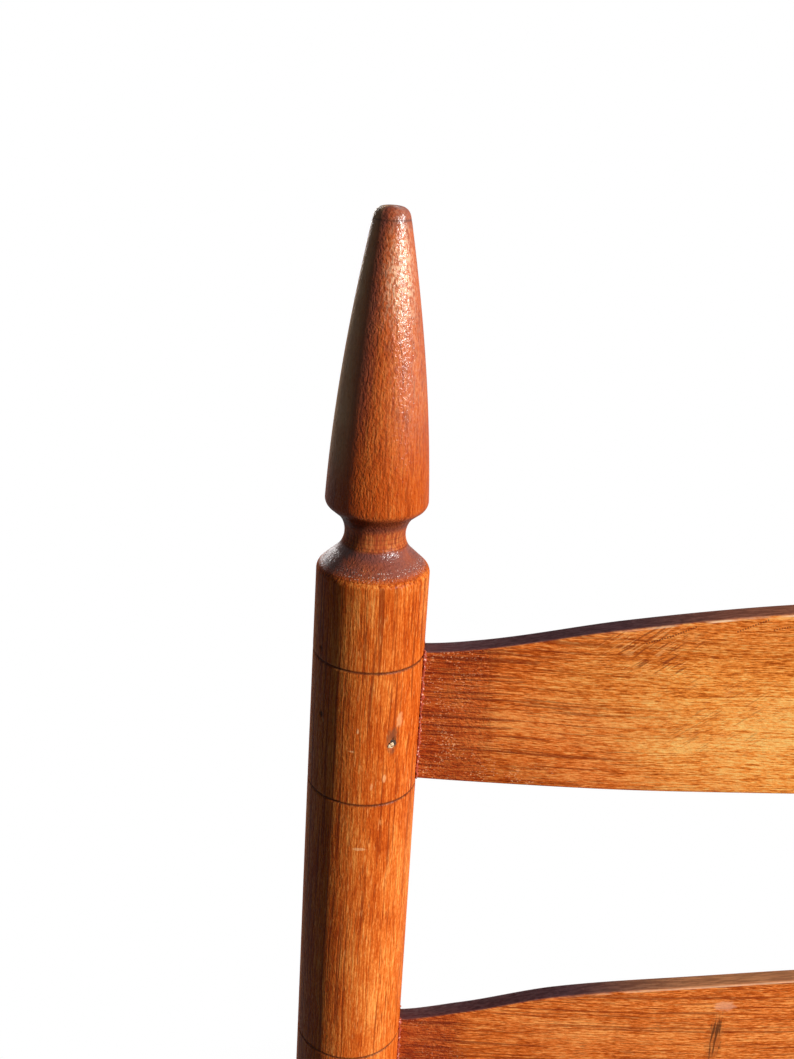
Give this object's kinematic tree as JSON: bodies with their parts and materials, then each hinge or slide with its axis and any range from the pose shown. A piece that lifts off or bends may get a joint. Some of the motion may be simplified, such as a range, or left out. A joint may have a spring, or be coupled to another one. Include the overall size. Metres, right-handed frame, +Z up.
{
  "type": "ladderback chair",
  "caption": "Tall ladderback side chair with bent, arched slats between raked turned posts with tapered finials, plain rungs, and a woven rush seat.",
  "frame": {"origin": "on the floor, at the centre of the chair's bounding box", "axes": "+X to the right seen from the front, +Y to the back, +Z up"},
  "size_m": [0.479, 0.4414, 1.1273],
  "materials": {
    "post_wood": "glossy orange-brown varnish over turned hardwood, upright grain, darker in the grooves",
    "slat_wood": "glossy orange-brown varnish over bent hardwood, grain along the slat, worn upper edges",
    "rung_wood": "orange-brown varnish over turned hardwood, worn on the front rungs",
    "rail_wood": "bare hardwood",
    "pin_steel": "dull dark steel",
    "rush": "dry twisted rush cord, light brown with greenish and golden strands",
    "stuffing": "packed dry rush offcuts"
  },
  "bodies": {
    "root": {"rear_post_left": "post_wood", "rear_post_right": "post_wood", "front_post_left": "post_wood", "front_post_right": "post_wood", "slat_1": "slat_wood", "slat_2": "slat_wood", "slat_3": "slat_wood", "slat_4": "slat_wood", "slat_pins": "pin_steel", "front_rung_upper": "rung_wood", "front_rung_lower": "rung_wood", "left_rung_upper": "rung_wood", "left_rung_lower": "rung_wood", "right_rung_upper": "rung_wood", "right_rung_lower": "rung_wood", "rear_rung": "rung_wood", "seat_rail_front": "rail_wood", "seat_rail_back": "rail_wood", "seat_rail_left": "rail_wood", "seat_rail_right": "rail_wood", "rush_seat": "rush", "seat_stuffing_front": "stuffing", "seat_stuffing_back": "stuffing", "seat_stuffing_left": "stuffing", "seat_stuffing_right": "stuffing"}
  },
  "joints": []
}
